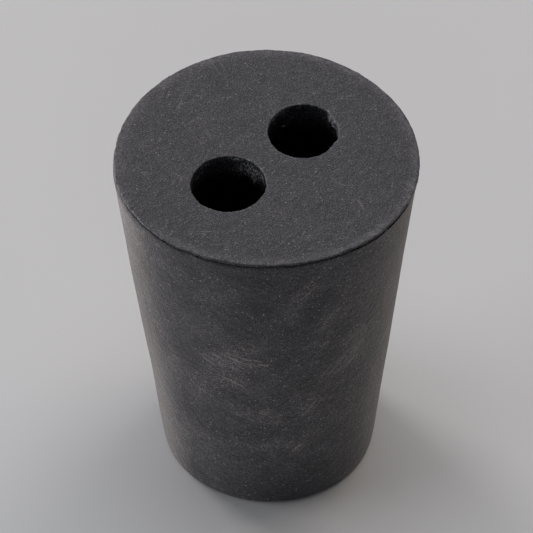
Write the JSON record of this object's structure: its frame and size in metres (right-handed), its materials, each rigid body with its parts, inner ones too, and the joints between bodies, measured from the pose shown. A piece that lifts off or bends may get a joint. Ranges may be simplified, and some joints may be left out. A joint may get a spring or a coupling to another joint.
{
  "type": "rubber stopper",
  "caption": "Tapered round plug of black rubber with parallel through holes, which closes the neck of a flask or bottle and grips the tubes pushed through it.",
  "frame": {"origin": "centre of the narrow end's face, on the surface that the stopper stands on", "axes": "+Z along the plug's axis from the narrow end to the wide end; +X parallel to the line through the centres of both holes, from the wider hole to the narrower one; that line passes 0.15 mm from the axis, on the -Y side"},
  "size_m": [0.019, 0.019, 0.025],
  "materials": {
    "rubber": "matt moulded black rubber with a faint grey bloom"
  },
  "bodies": {
    "root": {"stopper": "rubber"}
  },
  "joints": []
}
